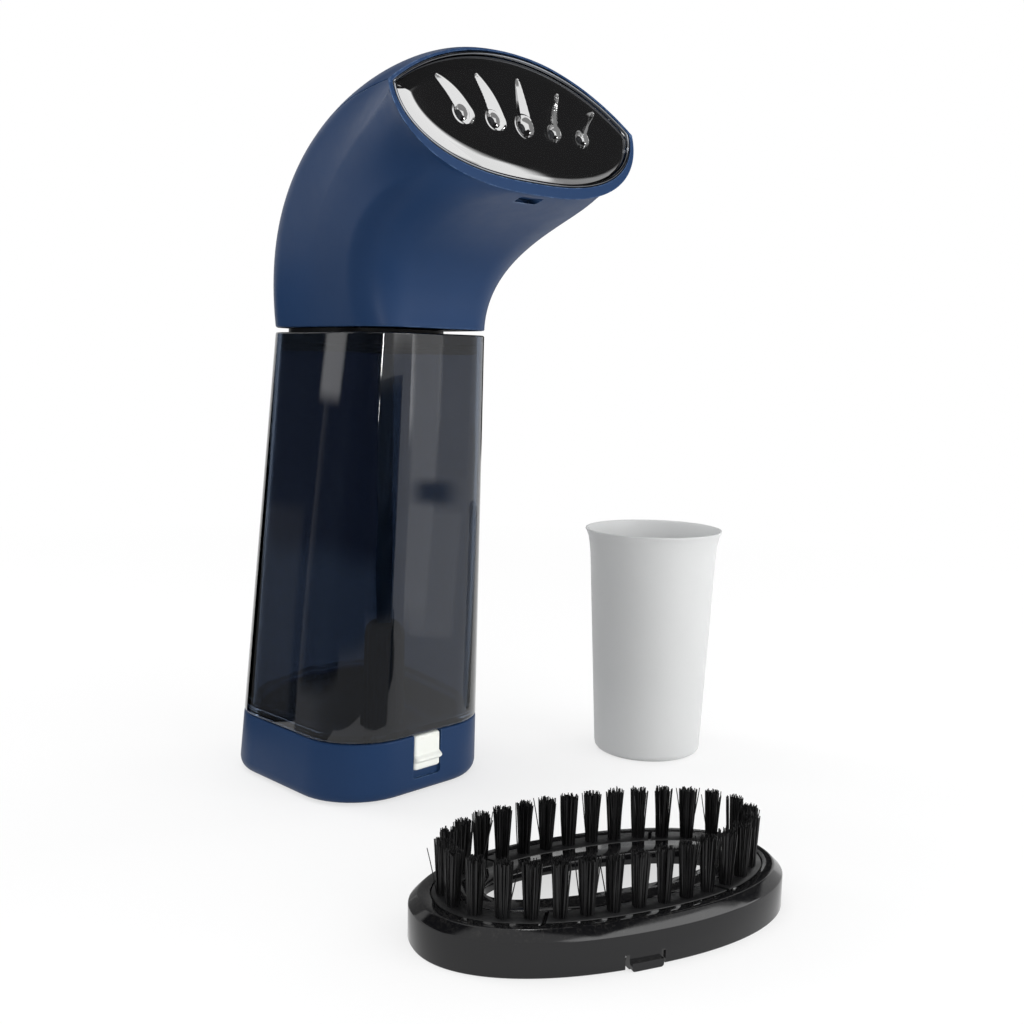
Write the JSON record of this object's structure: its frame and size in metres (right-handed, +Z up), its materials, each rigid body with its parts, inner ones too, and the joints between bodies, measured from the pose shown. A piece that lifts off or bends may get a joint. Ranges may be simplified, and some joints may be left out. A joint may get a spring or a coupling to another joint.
{
  "type": "handheld garment steamer with brush and measuring cup",
  "caption": "Upright handheld garment steamer: flared head with tilted steaming plate, smoked water tank and base with a pull-out filler plug, plus an oval bristle brush and a cup.",
  "frame": {"origin": "middle of the underside of the steamer's base, on the surface it stands on", "axes": "+Z up, -Y the way the steaming plate looks, +X to the right of somebody who looks along +Y at the plate"},
  "size_m": [0.2053, 0.2207, 0.2477],
  "materials": {
    "blue_shell": "satin moulded plastic",
    "smoked_tank": "clear smoked plastic, polished",
    "black_plastic": "moulded, matt",
    "black_gloss": "moulded, glossy",
    "coated_plate": "glossy black coating on metal",
    "bright_trim": "bright plated ring",
    "white_plug": "white, satin",
    "soft_rubber": "dark, matt",
    "clear_silicone": "translucent silicone",
    "cast_alloy": "as cast",
    "steel": "zinc-plated or plain bright steel",
    "copper_coil": "enamelled copper winding under tape",
    "board": "green circuit board",
    "fuse_sleeve": "white glass-fibre sleeve",
    "red_lens": "clear red lens",
    "bristles": "black nylon",
    "frosted_cup": "frosted translucent plastic"
  },
  "bodies": {
    "steamer": {"base_pad": "soft_rubber", "base_plate": "black_plastic", "base_shell": "blue_shell", "base_screw_1": "steel", "base_screw_2": "steel", "base_screw_3": "steel", "base_screw_4": "steel", "water_tank": "smoked_tank", "filler_neck": "black_plastic", "tank_lid": "black_plastic", "tank_seal": "soft_rubber", "suction_filter": "black_plastic", "suction_tube": "clear_silicone", "head_front_shell": "blue_shell", "head_rear_shell": "blue_shell", "neck_floor": "black_plastic", "neck_screw_1": "steel", "neck_screw_2": "steel", "neck_screw_3": "steel", "neck_screw_4": "steel", "shell_screw_1": "steel", "shell_screw_2": "steel", "pump_bridge": "black_plastic", "pump_yoke": "steel", "pump_coil": "copper_coil", "pump_body": "black_plastic", "soleplate": "coated_plate", "face_trim": "bright_trim", "face_frame": "black_plastic", "boiler": "cast_alloy", "boiler_cover": "cast_alloy", "boiler_screw_1": "steel", "boiler_screw_2": "steel", "heating_element": "steel", "thermostat": "black_plastic", "thermal_fuse": "fuse_sleeve", "outlet_hose": "clear_silicone", "microswitch": "black_plastic", "control_board": "board", "board_screw_1": "steel", "board_screw_2": "steel", "indicator_lens": "red_lens", "cord_gland": "soft_rubber"},
    "plug": {"filler_plug": "white_plug", "plug_seal": "soft_rubber"},
    "button": {"steam_button": "black_gloss"},
    "brush": {"brush_frame": "black_gloss", "bristles_right": "bristles", "bristles_back": "bristles", "bristles_left": "bristles", "bristles_front": "bristles"},
    "cup": {"measuring_cup": "frosted_cup"}
  },
  "joints": [
    {"name": "plug_pull", "type": "slide", "parent": "steamer", "child": "plug", "axis": [0, -1, 0], "range_m": [0, 0.02]},
    {"name": "steam_press", "type": "slide", "parent": "steamer", "child": "button", "axis": [0, -0.8463, -0.5326], "range_m": [0, 0.0016], "stiffness_N_per_m": 400},
    {"name": "brush_lift", "type": "slide", "parent": "steamer", "child": "brush", "axis": [0, 0, 1], "range_m": [0, 0.12]},
    {"name": "cup_lift", "type": "slide", "parent": "steamer", "child": "cup", "axis": [0, 0, 1], "range_m": [0, 0.12]}
  ]
}
